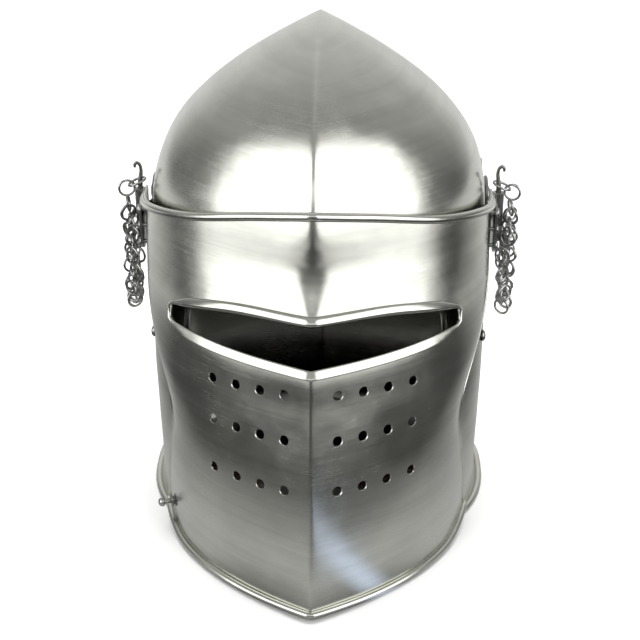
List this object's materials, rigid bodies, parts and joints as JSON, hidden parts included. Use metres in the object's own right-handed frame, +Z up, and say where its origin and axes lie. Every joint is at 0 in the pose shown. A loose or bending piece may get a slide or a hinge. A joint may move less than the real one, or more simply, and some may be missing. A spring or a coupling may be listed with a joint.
{
  "type": "knight helmet",
  "caption": "Pointed steel helmet with a medial ridge, a lifting visor with an eye slot and breath holes, draw-pin hinges with mail tassels, and a leather lining and chin strap.",
  "frame": {"origin": "middle of the bounding box at the level of the rolled rim that the helmet stands on", "axes": "+Z up to the crown's point, -Y out of the visor's keel, +X to the wearer's left"},
  "size_m": [0.266, 0.2895, 0.3295],
  "materials": {
    "polished_steel": "satin polished steel with fine brush lines and light scratches",
    "dark_steel": "darker forged and filed steel",
    "rivet_steel": "domed rivet heads, hammered and polished",
    "mail_steel": "butted rings of dull oiled steel wire",
    "leather": "vegetable-tanned brown leather",
    "lace": "twisted linen lace"
  },
  "bodies": {
    "helmet": {"skull": "polished_steel", "left_pivot_bolt": "rivet_steel", "left_pivot_washer": "dark_steel", "left_pivot_nut": "dark_steel", "left_chin_strap": "leather", "left_strap_rivet": "rivet_steel", "left_strap_burr": "dark_steel", "right_pivot_bolt": "rivet_steel", "right_pivot_washer": "dark_steel", "right_pivot_nut": "dark_steel", "right_chin_strap": "leather", "right_strap_rivet": "rivet_steel", "right_strap_burr": "dark_steel", "liner_band": "leather", "crown_lace": "lace", "buckle_frame": "dark_steel", "strap_keeper": "leather", "liner_tongue_1": "leather", "liner_tongue_2": "leather", "liner_tongue_3": "leather", "liner_tongue_4": "leather", "liner_tongue_5": "leather", "liner_tongue_6": "leather", "liner_tongue_7": "leather", "liner_tongue_8": "leather", "liner_rivet_1": "rivet_steel", "liner_burr_1": "dark_steel", "liner_rivet_2": "rivet_steel", "liner_burr_2": "dark_steel", "liner_rivet_3": "rivet_steel", "liner_burr_3": "dark_steel", "liner_rivet_4": "rivet_steel", "liner_burr_4": "dark_steel", "liner_rivet_5": "rivet_steel", "liner_burr_5": "dark_steel"},
    "visor": {"visor": "polished_steel", "peg_bush": "dark_steel", "left_visor_leaf": "polished_steel", "left_pivot_arm": "dark_steel", "left_leaf_rivet_1": "rivet_steel", "left_leaf_rivet_2": "rivet_steel", "left_leaf_rivet_3": "rivet_steel", "right_visor_leaf": "polished_steel", "right_pivot_arm": "dark_steel", "right_leaf_rivet_1": "rivet_steel", "right_leaf_rivet_2": "rivet_steel", "right_leaf_rivet_3": "rivet_steel"},
    "left_pin": {"left_pin": "dark_steel", "left_pin_ring": "mail_steel"},
    "right_pin": {"right_pin": "dark_steel", "right_pin_ring": "mail_steel"},
    "left_tassel": {"left_tassel": "mail_steel"},
    "right_tassel": {"right_tassel": "mail_steel"},
    "peg": {"cheek_peg": "rivet_steel"},
    "prong": {"buckle_prong": "dark_steel"}
  },
  "joints": [
    {"name": "visor_lift", "type": "hinge", "parent": "helmet", "child": "visor", "pos_m": [0, 0.06, 0.205], "axis": [-1, 0, 0], "range_deg": [0, 75]},
    {"name": "left_pin_draw", "type": "slide", "parent": "visor", "child": "left_pin", "axis": [0, 0, 1], "range_m": [0, 0.04]},
    {"name": "right_pin_draw", "type": "slide", "parent": "visor", "child": "right_pin", "axis": [0, 0, 1], "range_m": [0, 0.04]},
    {"name": "left_tassel_hang", "type": "hinge", "parent": "left_pin", "child": "left_tassel", "pos_m": [0.127, 0.033, 0.222], "axis": [-1, 0, 0], "range_deg": [-75, 0]},
    {"name": "right_tassel_hang", "type": "hinge", "parent": "right_pin", "child": "right_tassel", "pos_m": [-0.127, 0.033, 0.222], "axis": [-1, 0, 0], "range_deg": [-75, 0]},
    {"name": "peg_push", "type": "slide", "parent": "visor", "child": "peg", "axis": [0.9448, 0.3276, 0], "range_m": [0, 0.004]},
    {"name": "prong_lift", "type": "hinge", "parent": "helmet", "child": "prong", "pos_m": [0.0175, 0.013, 0.0126], "axis": [0, 1, 0], "range_deg": [0, 95]}
  ],
  "couplings": [
    {"joint": "left_tassel_hang", "follows": "visor_lift", "ratio": -1},
    {"joint": "right_tassel_hang", "follows": "visor_lift", "ratio": -1}
  ]
}
